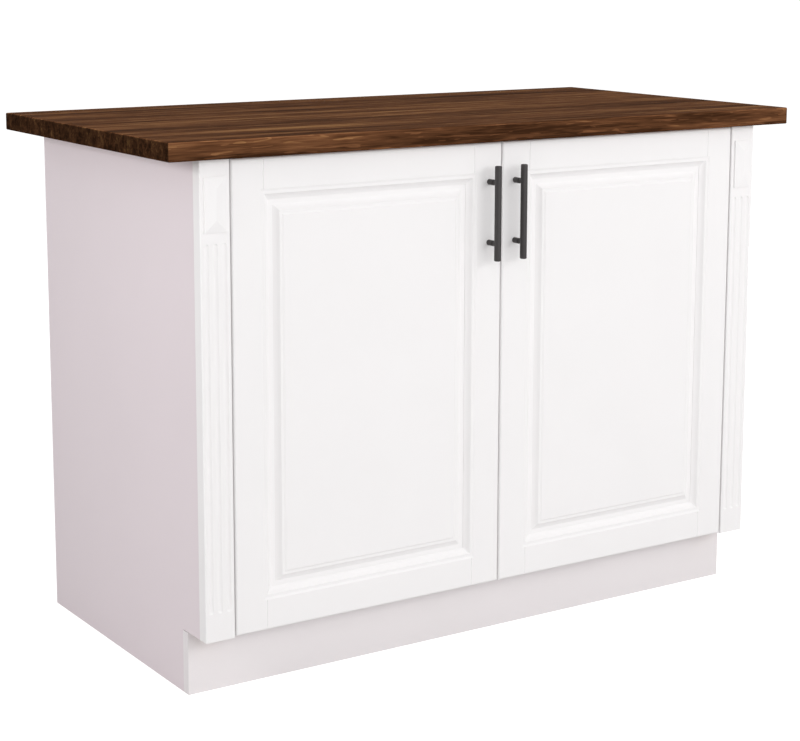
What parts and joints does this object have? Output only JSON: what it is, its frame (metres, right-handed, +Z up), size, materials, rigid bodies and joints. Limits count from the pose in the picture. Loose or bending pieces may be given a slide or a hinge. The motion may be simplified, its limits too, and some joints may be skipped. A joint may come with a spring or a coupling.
{
  "type": "kitchen base cabinet",
  "caption": "Kitchen base cabinet with two raised-panel doors between fluted pilasters, a shelf inside, a recessed toe kick and an overhanging solid wood worktop.",
  "frame": {"origin": "on the floor, under the middle of the box round the whole cabinet", "axes": "+X to the right as seen from the front, +Y to the back, +Z up; the doors face -Y"},
  "size_m": [1.18, 0.61, 0.848],
  "materials": {
    "walnut": "oiled, satin",
    "white_lacquer": "satin lacquer",
    "white_laminate": "matte laminate",
    "hardboard": "white hardboard",
    "pine": "planed softwood",
    "beech": "plain beech",
    "charcoal_metal": "satin powder coat",
    "steel": "zinc plated",
    "bumper_rubber": "clear soft pad"
  },
  "bodies": {
    "carcass": {"worktop": "walnut", "worktop_screws": "steel", "left_end_panel": "white_laminate", "right_end_panel": "white_laminate", "left_carcass_side": "white_laminate", "right_carcass_side": "white_laminate", "bottom_panel": "white_laminate", "front_top_rail": "white_laminate", "rear_top_rail": "white_laminate", "back_panel": "hardboard", "back_panel_screws": "steel", "shelf": "white_laminate", "shelf_pins": "steel", "toe_kick": "white_laminate", "toe_kick_brackets": "steel", "toe_kick_screws": "steel", "left_spacer_battens": "pine", "right_spacer_battens": "pine", "left_pilaster": "white_lacquer", "right_pilaster": "white_lacquer", "left_pilaster_block": "white_lacquer", "right_pilaster_block": "white_lacquer", "pilaster_dowels": "beech", "carcass_screws": "steel", "end_panel_screws": "steel", "left_hinge_plates": "steel", "right_hinge_plates": "steel", "left_hinge_arms": "steel", "right_hinge_arms": "steel", "hinge_screws": "steel"},
    "left_door": {"left_hinge_stile": "white_lacquer", "left_meeting_stile": "white_lacquer", "left_top_rail": "white_lacquer", "left_bottom_rail": "white_lacquer", "left_door_panel": "white_lacquer", "left_hinge_cups": "steel", "left_hinge_pins": "steel", "left_cup_screws": "steel", "left_handle_bar": "charcoal_metal", "left_handle_posts": "charcoal_metal", "left_handle_screws": "steel", "left_door_bumpers": "bumper_rubber"},
    "right_door": {"right_hinge_stile": "white_lacquer", "right_meeting_stile": "white_lacquer", "right_top_rail": "white_lacquer", "right_bottom_rail": "white_lacquer", "right_door_panel": "white_lacquer", "right_hinge_cups": "steel", "right_hinge_pins": "steel", "right_cup_screws": "steel", "right_handle_bar": "charcoal_metal", "right_handle_posts": "charcoal_metal", "right_handle_screws": "steel", "right_door_bumpers": "bumper_rubber"}
  },
  "joints": [
    {"name": "left_door_hinge", "type": "hinge", "parent": "carcass", "child": "left_door", "pos_m": [-0.47351, -0.26761, 0.45975], "axis": [0, 0, -1], "range_deg": [0, 100]},
    {"name": "right_door_hinge", "type": "hinge", "parent": "carcass", "child": "right_door", "pos_m": [0.47351, -0.26761, 0.45975], "axis": [0, 0, 1], "range_deg": [0, 100]}
  ]
}
